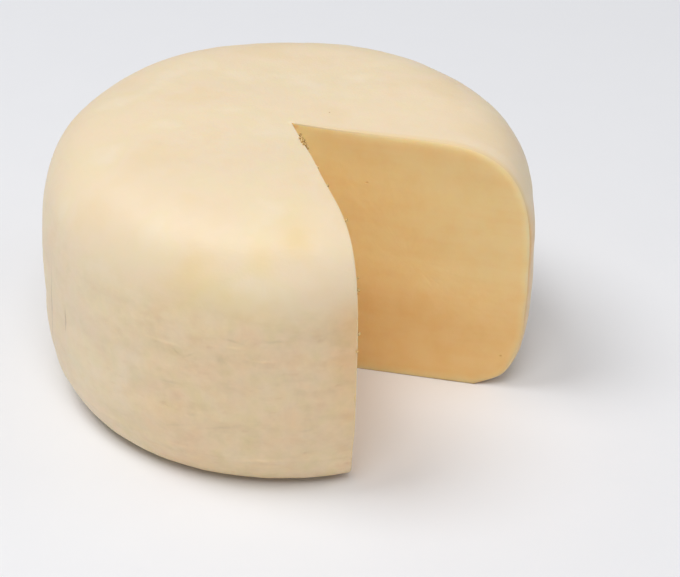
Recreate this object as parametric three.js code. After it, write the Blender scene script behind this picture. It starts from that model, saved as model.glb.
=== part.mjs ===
// A wheel of cheddar with one wedge cut out of it, standing on its flat underside.
// Millimetres, +Z up. The origin is on the wheel's axis, at the level of the underside.
// Bearings run anticlockwise from +X, seen from above, in degrees.

import * as THREE from "three";
import { mergeGeometries, mergeVertices } from "three/addons/utils/BufferGeometryUtils.js";

// The wheel's outline. The cheese has settled under its own weight, so its widest girth lies low.
// The two fullness values are superellipse exponents: how square the shoulder is to the side and crown.
const WHEEL_DIAMETER = 270;
const WHEEL_HEIGHT = 151;
const GIRTH_HEIGHT = 48;
const SIDE_FULLNESS = 6.8;
const CROWN_FULLNESS = 4;

// The foot. The side curls in towards the foot's diameter, but ends in a lip, this angle short of it.
// From the lip the underside slopes down to the edge of the flat on which the wheel rests.
const FOOT_DIAMETER = 226;
const LIP_ANGLE = 23;
const REST_DIAMETER = 216;

// The missing wedge: where each cut meets the girth, and where the two cuts meet, short of the axis.
const LEFT_CUT_BEARING = -73;
const RIGHT_CUT_BEARING = -14.5;
const CUT_APEX = new THREE.Vector2(1, -6);

// The knife leaned as it entered the left cut and then went straight down, so the wall there is drawn
// back, for the most part within the lean's height below the crown, and it comes forward again at the
// foot. The knife also strayed, so the wall is bowed in, most deeply at this distance from the apex. Lean
// and bow die out this far into the cheese, and over this distance on either side of the notch's middle.
const LEAN_DEPTH = 2.5;
const LEAN_HEIGHT = 55;
const LEAN_FOOT = 25;
const BOW_DEPTH = 1.3;
const BOW_DISTANCE = 66;
const BOW_REACH = 22;
const LEAN_REACH = 45;
const LEAN_BLEND = 30;

// Unevenness of the pressed rind: the round cheese has settled into a slightly oval foot, the oval growing
// with this power of the depth below the crown, and long waves run over the crown above the shoulder.
const FOOT_OVALITY = 2;
const OVAL_BEARING = 232;
const OVAL_GROWTH = 3;
const CROWN_WAVE_FOOT = 120;
const CROWN_WAVES = [
  { length: 128, bearing: 202, height: 0.7 },
  { length: 83, bearing: 96, height: 0.5 },
];

// Shallow dents in the side, longer than they are high, each value from the least to the most.
const DENT_COUNT = 54;
const DENT_DEPTH = [0.45, 1.1];
const DENT_HALF_LENGTH = [10, 24];
const DENT_HALF_HEIGHT = [5, 9];
const DENT_BAND = [14, 112];

// A low ridge round the side above the foot, left by the joint of the mould.
const RIDGE_LEVEL = 22;
const RIDGE_RELIEF = 0.6;
const RIDGE_HALF_WIDTH = 2.6;

// The relief of the side begins at the first radius, is full at the second, and fades out at the foot.
const SIDE_RADII = [94, 128];
const FOOT_FADE = 6;

// Long waves that the knife left in the cut faces. They die out at the face's edges.
const CUT_WAVE_EDGE = 0.22;
const CUT_WAVES = [
  { length: 78, bearing: 15, height: 0.45 },
  { length: 52, bearing: 78, height: 0.3 },
];

// Facets. A cut face is made of rings, each inset by a share of the way to its middle.
const COLUMNS = 104;
const UPPER_ROWS = 27;
const LOWER_ROWS = 12;
const UNDERCUT_ROWS = 1;
const UNDERSIDE_ROWS = 4;
const APEX_ROWS = 16;
const CUT_FACE_INSETS = [0, 0.1, 0.24, 0.4, 0.58, 0.78, 1];
const CURVE_SAMPLES = 600;
const WELD_DISTANCE = 1e-3;

const { degToRad, lerp, smoothstep } = THREE.MathUtils;
const GIRTH_RADIUS = WHEEL_DIAMETER / 2;
const FOOT_RADIUS = FOOT_DIAMETER / 2;
const REST_RADIUS = REST_DIAMETER / 2;

// Dents are spread by multiples of three irrational steps, so that they never line up.
const SPREAD_STEPS = [0.7548776662, 0.569840291, 0.6180339887];

// Points spaced evenly along a finely sampled line.
function evenPoints(samples, count) {
  const path = new THREE.CurvePath();
  for (let i = 1; i < samples.length; i++) path.add(new THREE.LineCurve(samples[i - 1], samples[i]));
  return path.getSpacedPoints(count);
}

// One half of the upright section, as radius and height: from the crown's middle over the shoulder to
// the girth, then round under the side to the lip, and in along the underside.
function sectionRows() {
  const upper = [];
  const lower = [];
  for (let i = 0; i <= CURVE_SAMPLES; i++) {
    const turn = (i / CURVE_SAMPLES) * (Math.PI / 2);
    const out = Math.max(Math.sin(turn), 0);
    const up = Math.max(Math.cos(turn), 0);
    const radius = GIRTH_RADIUS * out ** (2 / SIDE_FULLNESS);
    const height = GIRTH_HEIGHT + (WHEEL_HEIGHT - GIRTH_HEIGHT) * up ** (2 / CROWN_FULLNESS);
    upper.push(new THREE.Vector2(radius, height));
    const curl = (i / CURVE_SAMPLES) * degToRad(90 - LIP_ANGLE);
    const curledRadius = lerp(FOOT_RADIUS, GIRTH_RADIUS, Math.cos(curl));
    lower.push(new THREE.Vector2(curledRadius, GIRTH_HEIGHT * (1 - Math.sin(curl))));
  }
  const lip = lower[CURVE_SAMPLES];
  const rest = new THREE.Vector2(REST_RADIUS, 0);
  return [
    ...evenPoints(upper, UPPER_ROWS),
    ...evenPoints(lower, LOWER_ROWS).slice(1),
    ...evenPoints([lip, rest], UNDERCUT_ROWS).slice(1),
    ...evenPoints([rest, new THREE.Vector2(0, 0)], UNDERSIDE_ROWS).slice(1),
  ];
}

// The height of crossing waves at a place on a surface.
function waveHeight(waves, across, along) {
  return waves.reduce((height, wave) => {
    const angle = degToRad(wave.bearing);
    const run = across * Math.cos(angle) + along * Math.sin(angle);
    return height + wave.height * Math.sin((2 * Math.PI * run) / wave.length);
  }, 0);
}

// How far the side is pressed in at a bearing, in radians, and a height.
function dentDepth(angle, height) {
  let depth = 0;
  for (let i = 1; i <= DENT_COUNT; i++) {
    const [turn, rise, size] = SPREAD_STEPS.map((step) => (i * step) % 1);
    const away = angle - turn * 2 * Math.PI;
    const nearest = Math.atan2(Math.sin(away), Math.cos(away));
    const along = (nearest * GIRTH_RADIUS) / lerp(...DENT_HALF_LENGTH, size);
    const up = (height - lerp(...DENT_BAND, rise)) / lerp(...DENT_HALF_HEIGHT, turn);
    depth = Math.max(depth, lerp(...DENT_DEPTH, 1 - size) * Math.exp(-(along ** 2) - up ** 2));
  }
  return depth;
}

// How far the mould's ridge stands out at a height.
function ridge(height) {
  return RIDGE_RELIEF * Math.exp(-(((height - RIDGE_LEVEL) / RIDGE_HALF_WIDTH) ** 2));
}

// The direction in which a cut runs from the apex to the girth.
function cutDirection(bearing) {
  const angle = degToRad(bearing);
  const rim = new THREE.Vector2(Math.cos(angle), Math.sin(angle)).multiplyScalar(GIRTH_RADIUS);
  return rim.sub(CUT_APEX).normalize();
}

// The side to the left of a direction, seen from above.
function leftOf(direction) {
  return new THREE.Vector2(-direction.y, direction.x);
}

// The left cut's lean and bow, as a shift of the cheese beside it.
function drawBack(point) {
  const leftCut = cutDirection(LEFT_CUT_BEARING);
  const notchMiddle = leftCut.clone().add(cutDirection(RIGHT_CUT_BEARING)).normalize();
  const fromApex = new THREE.Vector2(point.x, point.y).sub(CUT_APEX);
  const depth = fromApex.dot(leftOf(leftCut));
  const near = Math.exp(-((depth / LEAN_REACH) ** 2));
  const onLeft = 1 - smoothstep(fromApex.dot(leftOf(notchMiddle)), -LEAN_BLEND, LEAN_BLEND);
  const entered = 1 - Math.exp((point.z - WHEEL_HEIGHT) / LEAN_HEIGHT);
  const leaned = LEAN_DEPTH * entered * smoothstep(point.z, 0, LEAN_FOOT);
  const bowed = BOW_DEPTH * Math.exp(-(((fromApex.dot(leftCut) - BOW_DISTANCE) / BOW_REACH) ** 2));
  const shift = leftOf(leftCut).multiplyScalar((leaned + bowed) * near * onLeft);
  return new THREE.Vector3(point.x - shift.x, point.y - shift.y, point.z);
}

// A point of the rind, not yet drawn back. The rings of the section are circles, and their centres run
// from the axis at the girth to the cut's apex at the crown's middle, so that the rind starts in the apex
// at every bearing.
function rindPoint(bearing, row) {
  const angle = degToRad(bearing);
  const reach = row.x / GIRTH_RADIUS;
  const settled = (1 - row.y / WHEEL_HEIGHT) ** OVAL_GROWTH;
  const oval = FOOT_OVALITY * reach * settled * Math.cos(2 * (angle - degToRad(OVAL_BEARING)));
  const relief = ridge(row.y) - dentDepth(angle, row.y);
  const onSide = smoothstep(row.x, ...SIDE_RADII) * smoothstep(row.y, 0, FOOT_FADE);
  const radius = row.x + oval + relief * onSide;
  const x = CUT_APEX.x * (1 - reach) + radius * Math.cos(angle);
  const y = CUT_APEX.y * (1 - reach) + radius * Math.sin(angle);
  const onCrown = smoothstep(row.y, CROWN_WAVE_FOOT, WHEEL_HEIGHT);
  return new THREE.Vector3(x, y, row.y + waveHeight(CROWN_WAVES, x, y) * onCrown);
}

// A grid of points as triangles, each point drawn back as far as it lies beside the left cut.
function patch(columns, rows, pointAt) {
  const positions = [];
  const corners = [];
  const at = (i, j) => i * (rows + 1) + j;
  for (let i = 0; i <= columns; i++)
    for (let j = 0; j <= rows; j++) positions.push(...drawBack(pointAt(i, j)).toArray());
  for (let i = 0; i < columns; i++)
    for (let j = 0; j < rows; j++) {
      corners.push(at(i, j), at(i, j + 1), at(i + 1, j + 1));
      corners.push(at(i, j), at(i + 1, j + 1), at(i + 1, j));
    }
  const geometry = new THREE.BufferGeometry();
  geometry.setAttribute("position", new THREE.Float32BufferAttribute(positions, 3));
  geometry.setIndex(corners);
  return geometry;
}

// The rind, from the right cut round the back to the left cut, and from the crown to the underside.
function rindPatch(section) {
  const step = (360 + LEFT_CUT_BEARING - RIGHT_CUT_BEARING) / COLUMNS;
  return patch(COLUMNS, section.length - 1, (i, j) => rindPoint(RIGHT_CUT_BEARING + step * i, section[j]));
}

// A cut face, as rings that shrink from its outline to its middle. The outline is shared with the rind
// and, along the apex, with the other cut. The left cut's outline runs the other way round.
function cutPatch(section, bearing) {
  const outline = section.map((row) => rindPoint(bearing, row));
  const crown = outline[0];
  const foot = outline[section.length - 1];
  for (let i = 1; i <= APEX_ROWS; i++) outline.push(foot.clone().lerp(crown, i / APEX_ROWS));
  if (bearing === LEFT_CUT_BEARING) outline.reverse();
  const along = cutDirection(bearing);
  const out = leftOf(along);
  const middle = rindPoint(bearing, new THREE.Vector2(GIRTH_RADIUS / 2, WHEEL_HEIGHT / 2));
  return patch(outline.length - 1, CUT_FACE_INSETS.length - 1, (i, j) => {
    const point = outline[i].clone().lerp(middle, CUT_FACE_INSETS[j]);
    const reach = along.x * point.x + along.y * point.y;
    const fade = smoothstep(CUT_FACE_INSETS[j], 0, CUT_WAVE_EDGE);
    const wave = waveHeight(CUT_WAVES, reach, point.z) * fade;
    return new THREE.Vector3(point.x + out.x * wave, point.y + out.y * wave, point.z);
  });
}

// Patches welded along their shared edges, without the triangles that shrank to nothing at a pole.
function weld(patches) {
  const welded = mergeVertices(mergeGeometries(patches), WELD_DISTANCE);
  const corners = welded.getIndex().array;
  const kept = [];
  for (let i = 0; i < corners.length; i += 3) {
    const triangle = corners.slice(i, i + 3);
    if (new Set(triangle).size === 3) kept.push(...triangle);
  }
  welded.setIndex(kept);
  welded.computeVertexNormals();
  return welded;
}

// The wheel.
const section = sectionRows();
const cheese = new THREE.MeshStandardMaterial({ color: 0xeed9b8, roughness: 0.5, metalness: 0 });
const wheel = new THREE.Mesh(
  weld([rindPatch(section), cutPatch(section, RIGHT_CUT_BEARING), cutPatch(section, LEFT_CUT_BEARING)]),
  cheese,
);
wheel.name = "cheddar_wheel";

const part = new THREE.Group();
part.add(wheel);

export default part;
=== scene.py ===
from math import cos, exp, pi, radians, sin

import bpy
from mathutils import Matrix, Vector


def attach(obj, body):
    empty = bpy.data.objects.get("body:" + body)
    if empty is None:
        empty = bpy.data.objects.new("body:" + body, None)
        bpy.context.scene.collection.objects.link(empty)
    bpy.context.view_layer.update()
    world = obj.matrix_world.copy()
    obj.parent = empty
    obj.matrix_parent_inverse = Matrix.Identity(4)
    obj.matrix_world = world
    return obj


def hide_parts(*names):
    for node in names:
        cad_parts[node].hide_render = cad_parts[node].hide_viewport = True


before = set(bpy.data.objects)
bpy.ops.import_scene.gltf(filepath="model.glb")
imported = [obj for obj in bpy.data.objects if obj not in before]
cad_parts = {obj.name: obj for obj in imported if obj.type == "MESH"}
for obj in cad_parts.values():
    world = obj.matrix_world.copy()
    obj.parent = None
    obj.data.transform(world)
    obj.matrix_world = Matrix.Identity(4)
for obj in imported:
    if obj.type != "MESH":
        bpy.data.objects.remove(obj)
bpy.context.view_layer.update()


# The wheel: one piece of pressed cheddar, round-shouldered and settled low, with a wedge cut out of it.
# It is curd pressed in a mould and aged until it has a dry cream skin; a knife made the two cuts.
# Its upright section is swept round from one cut to the other, and the cut faces are filled in.

MM = 0.001

# Where the cuts meet the girth and each other, as on the solid. Bearings run anticlockwise from +X.
GIRTH_RADIUS = 135 * MM
RIGHT_CUT = radians(-14.5)
LEFT_CUT = radians(360 - 73)
APEX = Vector((1 * MM, -6 * MM, 0))
RIGHT_RUN = (Vector((cos(RIGHT_CUT), sin(RIGHT_CUT), 0)) * GIRTH_RADIUS - APEX).normalized()
LEFT_RUN = (Vector((cos(LEFT_CUT), sin(LEFT_CUT), 0)) * GIRTH_RADIUS - APEX).normalized()
NOTCH_MIDDLE = (LEFT_RUN + RIGHT_RUN).normalized()
QUARTER_TURN = Matrix.Rotation(pi / 2, 3, "Z")

# The section, as on the solid: a round shoulder, a low girth, and a foot that ends in a lip.
WHEEL_SIZES = {
    "Girth radius": GIRTH_RADIUS,
    "Height": 151 * MM,
    "Girth height": 48 * MM,
    "Foot radius": 113 * MM,
    "Lip angle": radians(23),
    "Rest radius": 108 * MM,
    "Side fullness": 6.8,
    "Crown fullness": 4.0,
    "Right cut": RIGHT_CUT,
    "Left cut": LEFT_CUT,
    "Strip width": radians(2.2),
    "Apex": APEX,
    "Out of left cut": QUARTER_TURN @ LEFT_RUN,
    "Across notch": QUARTER_TURN @ NOTCH_MIDDLE,
    "Lean": 2.5 * MM,
    "Lean height": 55 * MM,
    "Lean foot": 25 * MM,
    "Lean reach": 45 * MM,
    "Lean blend": 30 * MM,
    "Left run": LEFT_RUN,
    "Bow": 1.3 * MM,
    "Bow at": 66 * MM,
    "Bow reach": 22 * MM,
    "Foot ovality": 2 * MM,
    "Oval bearing": radians(232),
    "Oval growth": 3,
    "Crown wave foot": 120 * MM,
    "Ridge level": 22 * MM,
    "Ridge relief": 0.6 * MM,
    "Ridge half width": 2.6 * MM,
    "Side from": 94 * MM,
    "Side to": 128 * MM,
    "Foot fade": 6 * MM,
    "Edge wear": 0.35 * MM,
    "Edge nicks": 0.9 * MM,
    "Round within": 9 * MM,
    "Round from": 16 * MM,
    "Round steps": 40,
}

# Long waves: length, bearing and height of each. The press made the crown's, and the knife the cuts'.
CROWN_WAVES = ((128 * MM, radians(202), 0.7 * MM), (83 * MM, radians(96), 0.5 * MM))
CUT_WAVES = ((78 * MM, radians(15), 0.45 * MM), (52 * MM, radians(78), 0.3 * MM))

# Dents in the side, spread by irrational steps. Least and most: half height, level and half length.
DENT_COUNT = 54
DENT_STEPS = (0.7548776662, 0.569840291, 0.6180339887)
DENT_LEAST = (5 * MM, 14 * MM, 10 * MM)
DENT_MOST = (9 * MM, 112 * MM, 24 * MM)
DENT_DEPTH_SHORT = 1.1 * MM
DENT_DEPTH_LONG = 0.45 * MM

# Finer unevenness: swells of the rind, small pits that lie along the side, the grain of the cut curd,
# and nicks in the cuts' edges. Each comes from a noise, and grows to its full size between two values
# of it.
RIND_SWELL = 17 * MM
RIND_RELIEF = 0.5 * MM
RELIEF_NOISE = (0.25, 0.75)
PIT_LENGTH = 8.5 * MM
PIT_HEIGHT = 3.6 * MM
PIT_DEPTH = 0.3 * MM
PIT_NOISE = (0.6, 0.8)
PIT_TOP = 108 * MM
PIT_FADE = 16 * MM
CURD_GRAIN = 5 * MM
CURD_RELIEF = 0.35 * MM
NICK_LENGTH = 6 * MM
NICK_NOISE = (0.58, 0.8)

# How finely each stretch of the section, each sweep of the rind and each cut face is divided, how close
# points are welded into one, and how steep an edge stays sharp.
SHOULDER_ROWS = 122
SHOULDER_PACKING = 1.35
BELLY_ROWS = 42
UNDERCUT_ROWS = 5
UNDERSIDE_ROWS = 8
CORE_ROWS = 46
COLUMNS = 430
STRIP_COLUMNS = 6
CUT_RINGS = 38
RING_PACKING = 1.5
SECTION_SAMPLES = 600
WELD = 0.01 * MM
SHARP_ANGLE = radians(40)

# How things fade: eased at both ends, or as a bell, which is this base to the power of a squared share.
EASE_IN_OUT = {"interpolation_type": "SMOOTHSTEP"}
BELL = exp(-1)

# The kinds of node that are used most.
MATH = "ShaderNodeMath"
VECTOR_MATH = "ShaderNodeVectorMath"
MAP_RANGE = "ShaderNodeMapRange"
NOISE = "ShaderNodeTexNoise"


def add_node(tree, kind, inputs=(), **settings):
    """Adds a node, applies its settings, and links or sets its inputs, given in order or by name."""
    node = tree.nodes.new(kind)
    for name, value in settings.items():
        setattr(node, name, value)
    sockets = [socket for socket in node.inputs if socket.enabled]
    if isinstance(inputs, dict):
        pairs = [(next(s for s in sockets if s.name == name), value) for name, value in inputs.items()]
    else:
        pairs = zip(sockets, inputs)
    for socket, value in pairs:
        for source in value if isinstance(value, list) else [value]:
            if isinstance(source, bpy.types.Node):
                source = next(output for output in source.outputs if output.enabled)
            if isinstance(source, bpy.types.NodeSocket):
                tree.links.new(source, socket)
            else:
                socket.default_value = source
    return node


def new_tree(name, inputs):
    """Starts a geometry tree with named inputs, and returns it with those inputs as sockets."""
    tree = bpy.data.node_groups.new(name, "GeometryNodeTree")
    for label, kind in inputs.items():
        tree.interface.new_socket(label, in_out="INPUT", socket_type=kind)
    tree.interface.new_socket("Geometry", in_out="OUTPUT", socket_type="NodeSocketGeometry")
    return tree, add_node(tree, "NodeGroupInput").outputs


def bell(tree, offset, reach):
    """Adds a bell curve of an offset, which is 1 where there is none and fades within the reach."""
    share = add_node(tree, MATH, [offset, reach], operation="DIVIDE")
    squared = add_node(tree, MATH, [share, share], operation="MULTIPLY")
    return add_node(tree, MATH, [BELL, squared], operation="POWER")


# A sheet of the wheel's surface, drawn in bearing, radius and height: one stretch of the section's
# curve, swept from one bearing to another, or drawn in towards the middle of a cut face.
sheet, given = new_tree(
    "sheet of the wheel",
    {
        "Stretch": "NodeSocketGeometry",
        "From bearing": "NodeSocketFloat",
        "To bearing": "NodeSocketFloat",
        "From": "NodeSocketFloat",
        "To": "NodeSocketFloat",
        "Packing": "NodeSocketFloat",
        "Inset": "NodeSocketFloat",
        "Middle": "NodeSocketVector",
        "Columns": "NodeSocketInt",
        "Rows": "NodeSocketInt",
    },
)
column_points = add_node(sheet, MATH, [given["Columns"], 1.0], operation="ADD")
row_points = add_node(sheet, MATH, [given["Rows"], 1.0], operation="ADD")
grid = add_node(sheet, "GeometryNodeMeshGrid", [1.0, 1.0, column_points, row_points])
across, along, _ = add_node(sheet, "ShaderNodeSeparateXYZ", [grid.outputs["UV Map"]]).outputs
row = add_node(sheet, MAP_RANGE, [along, 0.0, 1.0, given["From"], given["To"]])
factor = add_node(sheet, MATH, [row, given["Packing"]], operation="POWER")
curve = add_node(
    sheet, "GeometryNodeSampleCurve", {"Curves": given["Stretch"], "Factor": factor}, mode="FACTOR"
)
ring = add_node(sheet, MATH, [across, RING_PACKING], operation="POWER")
inset = add_node(sheet, MATH, [ring, given["Inset"]], operation="MULTIPLY")
section_point = add_node(
    sheet, "ShaderNodeMix", [inset, curve.outputs["Position"], given["Middle"]], data_type="VECTOR"
)
turn = add_node(sheet, MAP_RANGE, [across, 0.0, 1.0, given["From bearing"], given["To bearing"]])
turned = add_node(sheet, "ShaderNodeCombineXYZ", [turn, 0.0, 0.0])
place = add_node(sheet, VECTOR_MATH, [section_point, turned], operation="ADD")
placed = add_node(sheet, "GeometryNodeSetPosition", {"Geometry": grid.outputs["Mesh"], "Position": place})
marked = add_node(
    sheet,
    "GeometryNodeStoreNamedAttribute",
    {"Geometry": placed, "Name": "cut", "Value": given["Inset"]},
    data_type="FLOAT",
    domain="FACE",
)
add_node(sheet, "NodeGroupOutput", [marked])

# The whole form. First the stretches of the section, as bearing 0, radius and height.
form, given = new_tree(
    "cheddar wheel form",
    {
        name: "NodeSocketVector" if isinstance(value, Vector) else "NodeSocketFloat"
        for name, value in WHEEL_SIZES.items()
    }
    | {"Rind": "NodeSocketMaterial", "Paste": "NodeSocketMaterial"},
)
girth = given["Girth radius"]
height = given["Height"]
position = add_node(form, "GeometryNodeInputPosition")
above_lip = add_node(form, MATH, [pi / 2, given["Lip angle"]], operation="SUBTRACT")
quarter, lipped = [
    add_node(
        form,
        "GeometryNodeCurveArc",
        {"Resolution": SECTION_SAMPLES, "Radius": 1.0, "Start Angle": start, "Sweep Angle": sweep},
        mode="RADIUS",
    )
    for start, sweep in ((0.0, pi / 2), (given["Lip angle"], above_lip))
]
arc_x, arc_y, _ = add_node(form, "ShaderNodeSeparateXYZ", [position]).outputs
unit_x = add_node(form, MATH, [arc_x, 0.0], operation="MAXIMUM")
unit_y = add_node(form, MATH, [arc_y, 0.0], operation="MAXIMUM")
side_power = add_node(form, MATH, [2.0, given["Side fullness"]], operation="DIVIDE")
crown_power = add_node(form, MATH, [2.0, given["Crown fullness"]], operation="DIVIDE")
full_x = add_node(form, MATH, [unit_x, side_power], operation="POWER")
full_y = add_node(form, MATH, [unit_y, crown_power], operation="POWER")
shoulder_radius = add_node(form, MATH, [full_x, girth], operation="MULTIPLY")
shoulder_level = add_node(form, MAP_RANGE, [full_y, 0.0, 1.0, given["Girth height"], height])
shoulder_point = add_node(form, "ShaderNodeCombineXYZ", [0.0, shoulder_radius, shoulder_level])
belly_radius = add_node(form, MAP_RANGE, [unit_y, 0.0, 1.0, given["Foot radius"], girth])
belly_level = add_node(form, MAP_RANGE, [unit_x, 0.0, 1.0, given["Girth height"], 0.0])
belly_point = add_node(form, "ShaderNodeCombineXYZ", [0.0, belly_radius, belly_level])
rest_point = add_node(form, "ShaderNodeCombineXYZ", [0.0, given["Rest radius"], 0.0])
crown_point = add_node(form, "ShaderNodeCombineXYZ", [0.0, 0.0, height])
shoulder = add_node(form, "GeometryNodeSetPosition", {"Geometry": quarter, "Position": shoulder_point})
belly = add_node(form, "GeometryNodeSetPosition", {"Geometry": lipped, "Position": belly_point})
lip = add_node(form, "GeometryNodeSampleCurve", {"Curves": belly, "Factor": 0.0}, mode="FACTOR")
undercut = add_node(
    form, "GeometryNodeCurvePrimitiveLine", {"Start": rest_point, "End": lip.outputs["Position"]}
)
underside = add_node(form, "GeometryNodeCurvePrimitiveLine", {"Start": (0, 0, 0), "End": rest_point})
core = add_node(form, "GeometryNodeCurvePrimitiveLine", {"Start": crown_point, "End": (0, 0, 0)})

# Then the sheets: the rind in three sweeps, the two beside the cuts finer, and the two cut faces.
half_girth = add_node(form, MATH, [girth, 0.5], operation="MULTIPLY")
half_height = add_node(form, MATH, [height, 0.5], operation="MULTIPLY")
middle = add_node(form, "ShaderNodeCombineXYZ", [0.0, half_girth, half_height])
right_cut = given["Right cut"]
left_cut = given["Left cut"]
right_strip = add_node(form, MATH, [right_cut, given["Strip width"]], operation="ADD")
left_strip = add_node(form, MATH, [left_cut, given["Strip width"]], operation="SUBTRACT")
sweeps = (
    (right_cut, right_strip, STRIP_COLUMNS),
    (right_strip, left_strip, COLUMNS),
    (left_strip, left_cut, STRIP_COLUMNS),
)
rind_stretches = (
    (underside, UNDERSIDE_ROWS, 1.0),
    (undercut, UNDERCUT_ROWS, 1.0),
    (belly, BELLY_ROWS, 1.0),
    (shoulder, SHOULDER_ROWS, SHOULDER_PACKING),
)
sheets = []
for stretch, rows, packing in rind_stretches:
    for start, end, columns in sweeps:
        values = [stretch, start, end, 0.0, 1.0, packing, 0.0, middle, columns, rows]
        sheets.append(add_node(form, "GeometryNodeGroup", values, node_tree=sheet))
for stretch, rows, packing in (*rind_stretches, (core, CORE_ROWS, 1.0)):
    for bearing, start, end in ((right_cut, 1.0, 0.0), (left_cut, 0.0, 1.0)):
        values = [stretch, bearing, bearing, start, end, packing, 1.0, middle, CUT_RINGS, rows]
        sheets.append(add_node(form, "GeometryNodeGroup", values, node_tree=sheet))
drawn = add_node(form, "GeometryNodeJoinGeometry", [sheets])

# Kept for the materials: the rind rolled out flat, as metres round the girth, radius and height, and how
# deep under the rind each point of a cut face lies.
bearing, radius, level = add_node(form, "ShaderNodeSeparateXYZ", [position]).outputs
girth_run = add_node(form, MATH, [bearing, girth], operation="MULTIPLY")
rolled_out = add_node(form, "ShaderNodeCombineXYZ", [girth_run, radius, level])
rind_curves = add_node(form, "GeometryNodeJoinGeometry", [[stretch for stretch, _, _ in rind_stretches]])
rind_line = add_node(form, "GeometryNodeCurveToMesh", [rind_curves])
on_section = add_node(form, VECTOR_MATH, [position, (0, 1, 1)], operation="MULTIPLY")
under_rind = add_node(
    form,
    "GeometryNodeProximity",
    {"Geometry": rind_line, "Sample Position": on_section},
    target_element="EDGES",
)
kept = drawn
for name, value, kind in (
    ("rolled_out", rolled_out, "FLOAT_VECTOR"),
    ("rind_depth", under_rind.outputs["Distance"], "FLOAT"),
):
    kept = add_node(
        form,
        "GeometryNodeStoreNamedAttribute",
        {"Geometry": kept, "Name": name, "Value": value},
        data_type=kind,
        domain="POINT",
    )

# Dents: each round of the loop presses one more into the side, where it is deeper than those before it.
dents_in = add_node(form, "GeometryNodeRepeatInput")
dents_out = add_node(form, "GeometryNodeRepeatOutput")
dents_in.pair_with_output(dents_out)
dents_out.repeat_items.clear()
dents_out.repeat_items.new("FLOAT", "Depth")
dents_in.inputs["Iterations"].default_value = DENT_COUNT
number = add_node(form, MATH, [dents_in.outputs["Iteration"], 1.0], operation="ADD")
stepped = add_node(form, VECTOR_MATH, {"Vector": DENT_STEPS, "Scale": number}, operation="SCALE")
shares = add_node(form, VECTOR_MATH, [stepped], operation="FRACTION")
share_turn, _, share_size = add_node(form, "ShaderNodeSeparateXYZ", [shares]).outputs
extents = add_node(
    form,
    MAP_RANGE,
    {"Vector": shares, "To Min": DENT_LEAST, "To Max": DENT_MOST},
    data_type="FLOAT_VECTOR",
)
half_rise, dent_level, half_run = add_node(form, "ShaderNodeSeparateXYZ", [extents]).outputs
dent_turn = add_node(form, MATH, [share_turn, 2 * pi], operation="MULTIPLY")
away = add_node(form, MATH, [bearing, dent_turn], operation="SUBTRACT")
nearest = add_node(form, MATH, [away, pi, -pi], operation="WRAP")
run = add_node(form, MATH, [nearest, girth], operation="MULTIPLY")
rise = add_node(form, MATH, [level, dent_level], operation="SUBTRACT")
run_share = add_node(form, MATH, [run, half_run], operation="DIVIDE")
rise_share = add_node(form, MATH, [rise, half_rise], operation="DIVIDE")
off_centre = add_node(form, "ShaderNodeCombineXYZ", [run_share, rise_share, 0.0])
off_squared = add_node(form, VECTOR_MATH, [off_centre, off_centre], operation="DOT_PRODUCT")
hollow = add_node(form, MATH, [BELL, off_squared], operation="POWER")
deepest = add_node(form, MAP_RANGE, [share_size, 0.0, 1.0, DENT_DEPTH_SHORT, DENT_DEPTH_LONG])
depth = add_node(form, MATH, [hollow, deepest], operation="MULTIPLY")
deeper = add_node(form, MATH, [depth, dents_in.outputs["Depth"]], operation="MAXIMUM")
form.links.new(deeper.outputs[0], dents_out.inputs["Depth"])

# Relief of the side: the mould's ridge stands out, the dents go in, and the foot is slightly oval.
over_ridge = add_node(form, MATH, [level, given["Ridge level"]], operation="SUBTRACT")
ridge_bell = bell(form, over_ridge, given["Ridge half width"])
ridge = add_node(form, MATH, [ridge_bell, given["Ridge relief"]], operation="MULTIPLY")
relief = add_node(form, MATH, [ridge, dents_out.outputs["Depth"]], operation="SUBTRACT")
side_span = [given["Side from"], given["Side to"], 0.0, 1.0]
foot_span = [0.0, given["Foot fade"], 0.0, 1.0]
on_side = add_node(form, MAP_RANGE, [radius, *side_span], **EASE_IN_OUT)
off_foot = add_node(form, MAP_RANGE, [level, *foot_span], **EASE_IN_OUT)
side_share = add_node(form, MATH, [on_side, off_foot], operation="MULTIPLY")
oval_turn = add_node(form, MATH, [bearing, given["Oval bearing"]], operation="SUBTRACT")
oval_twice = add_node(form, MATH, [oval_turn, 2.0], operation="MULTIPLY")
oval_swing = add_node(form, MATH, [oval_twice], operation="COSINE")
reach = add_node(form, MATH, [radius, girth], operation="DIVIDE")
fallen = add_node(form, MAP_RANGE, [level, 0.0, height, 1.0, 0.0])
settled = add_node(form, MATH, [fallen, given["Oval growth"]], operation="POWER")
oval_settled = add_node(form, MATH, [settled, given["Foot ovality"]], operation="MULTIPLY")
oval_reach = add_node(form, MATH, [reach, oval_settled], operation="MULTIPLY")
ovalled = add_node(form, MATH, [oval_swing, oval_reach, radius], operation="MULTIPLY_ADD")
pressed = add_node(form, MATH, [relief, side_share, ovalled], operation="MULTIPLY_ADD")

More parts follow.
